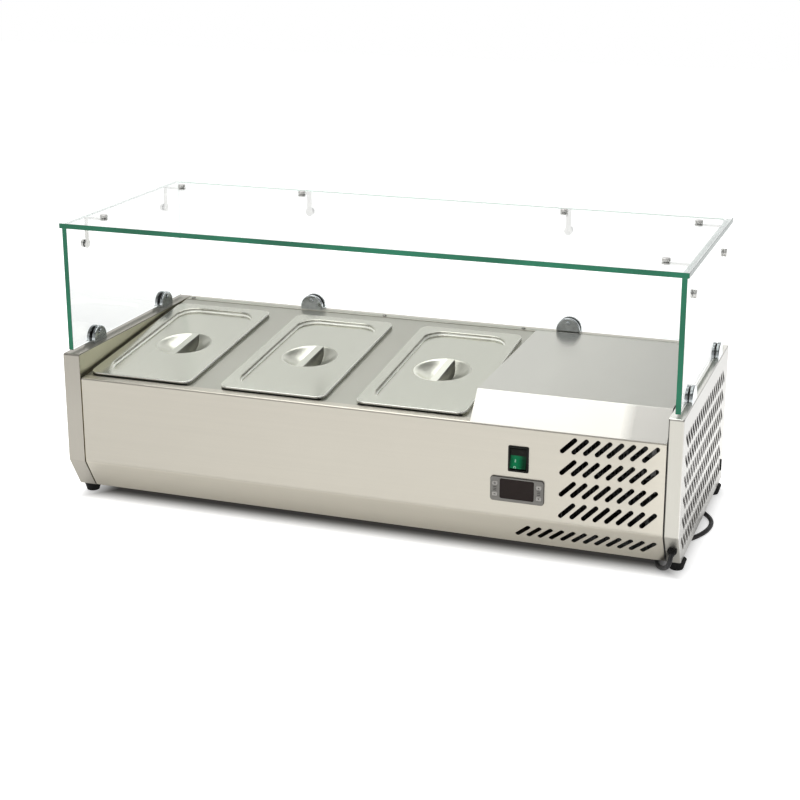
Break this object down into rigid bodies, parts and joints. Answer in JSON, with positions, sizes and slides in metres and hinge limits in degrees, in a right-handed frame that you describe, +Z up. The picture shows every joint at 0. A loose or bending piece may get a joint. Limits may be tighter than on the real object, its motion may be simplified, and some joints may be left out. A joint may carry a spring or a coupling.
{
  "type": "refrigerated topping display",
  "caption": "Countertop chilled topping rail: sheet-steel cabinet with a sloped deck of lidded food pans, a machine bay at the right and a glass guard open to the operator.",
  "frame": {"origin": "on the floor, under the middle of the cabinet", "axes": "+X to the operator's right along the cabinet, +Y from the operator's side to the rear, +Z up"},
  "size_m": [1.0073, 0.5262, 0.4589],
  "materials": {
    "end_steel": "brushed",
    "panel_steel": "brushed",
    "deck_steel": "brushed",
    "cover_steel": "brushed",
    "pan_steel": "satin",
    "lid_steel": "satin",
    "zinc_sheet": "galvanised",
    "clear_glass": "clear",
    "bright_metal": "polished",
    "screw_steel": "plain",
    "soft_rubber": "matt",
    "switch_black": "satin",
    "switch_green": "lit, glossy",
    "bezel_grey": "fine texture",
    "display_dark": "glossy",
    "key_grey": "satin",
    "housing_black": "satin",
    "foam_yellow": "foamed",
    "compressor_black": "gloss paint",
    "copper": "drawn tube",
    "cord_black": "matt",
    "pin_brass": "turned"
  },
  "bodies": {
    "cabinet": {"left_end_shell": "end_steel", "right_end_shell": "end_steel", "front_panel": "panel_steel", "rear_panel": "panel_steel", "deck": "deck_steel", "well_liner": "deck_steel", "machine_cover": "cover_steel", "left_end_plate": "zinc_sheet", "right_end_plate": "zinc_sheet", "base_plate": "zinc_sheet", "bulkhead": "zinc_sheet", "fan_shroud": "zinc_sheet", "glass_top": "clear_glass", "glass_left": "clear_glass", "glass_right": "clear_glass", "glass_rear": "clear_glass", "clamp_bodies": "bright_metal", "clamp_jaws": "bright_metal", "corner_straps": "bright_metal", "glass_buttons": "bright_metal", "panel_screws": "screw_steel", "clamp_screws": "screw_steel", "foot_screws": "screw_steel", "clamp_pads": "soft_rubber", "feet": "soft_rubber", "compressor_grommets": "soft_rubber", "cable_gland": "soft_rubber", "side_plug": "soft_rubber", "switch_bezel": "switch_black", "controller_bezel": "bezel_grey", "controller_window": "display_dark", "controller_body": "housing_black", "terminal_box": "housing_black", "plug_body": "housing_black", "foam_block": "foam_yellow", "compressor_shell": "compressor_black", "compressor_base": "compressor_black", "fan_motor": "compressor_black", "condenser_fins": "compressor_black", "condenser_coil": "compressor_black", "evaporator_coil": "copper", "refrigerant_lines": "copper", "filter_drier": "copper", "mains_cord": "cord_black", "cord_coil": "cord_black", "coil_tie": "cord_black", "plug_pins": "pin_brass"},
    "rocker": {"switch_rocker": "switch_green"},
    "fan": {"fan_blade": "housing_black"},
    "pan_1": {"pan_1": "pan_steel"},
    "lid_1": {"lid_1": "lid_steel"},
    "pan_2": {"pan_2": "pan_steel"},
    "lid_2": {"lid_2": "lid_steel"},
    "pan_3": {"pan_3": "pan_steel"},
    "lid_3": {"lid_3": "lid_steel"},
    "key_set": {"key_set": "key_grey"},
    "key_defrost": {"key_defrost": "key_grey"},
    "key_up": {"key_up": "key_grey"},
    "key_down": {"key_down": "key_grey"}
  },
  "joints": [
    {"name": "pan_1_lift", "type": "slide", "parent": "cabinet", "child": "pan_1", "axis": [0, -0.104, 0.9946], "range_m": [0, 0.11]},
    {"name": "lid_1_lift", "type": "slide", "parent": "pan_1", "child": "lid_1", "axis": [0, -0.104, 0.9946], "range_m": [0, 0.06]},
    {"name": "pan_2_lift", "type": "slide", "parent": "cabinet", "child": "pan_2", "axis": [0, -0.104, 0.9946], "range_m": [0, 0.11]},
    {"name": "lid_2_lift", "type": "slide", "parent": "pan_2", "child": "lid_2", "axis": [0, -0.104, 0.9946], "range_m": [0, 0.06]},
    {"name": "pan_3_lift", "type": "slide", "parent": "cabinet", "child": "pan_3", "axis": [0, -0.104, 0.9946], "range_m": [0, 0.11]},
    {"name": "lid_3_lift", "type": "slide", "parent": "pan_3", "child": "lid_3", "axis": [0, -0.104, 0.9946], "range_m": [0, 0.06]},
    {"name": "switch_rock", "type": "hinge", "parent": "cabinet", "child": "rocker", "pos_m": [0.256, -0.194, 0.1575], "axis": [1, 0, 0], "range_deg": [0, 20]},
    {"name": "key_set_press", "type": "slide", "parent": "cabinet", "child": "key_set", "axis": [0, 1, 0], "range_m": [0, 0.0006], "stiffness_N_per_m": 200},
    {"name": "key_defrost_press", "type": "slide", "parent": "cabinet", "child": "key_defrost", "axis": [0, 1, 0], "range_m": [0, 0.0006], "stiffness_N_per_m": 200},
    {"name": "key_up_press", "type": "slide", "parent": "cabinet", "child": "key_up", "axis": [0, 1, 0], "range_m": [0, 0.0006], "stiffness_N_per_m": 200},
    {"name": "key_down_press", "type": "slide", "parent": "cabinet", "child": "key_down", "axis": [0, 1, 0], "range_m": [0, 0.0006], "stiffness_N_per_m": 200},
    {"name": "fan_spin", "type": "hinge", "parent": "cabinet", "child": "fan", "pos_m": [0.378, -0.1258, 0.1094], "axis": [0, 1, 0], "continuous": true}
  ]
}
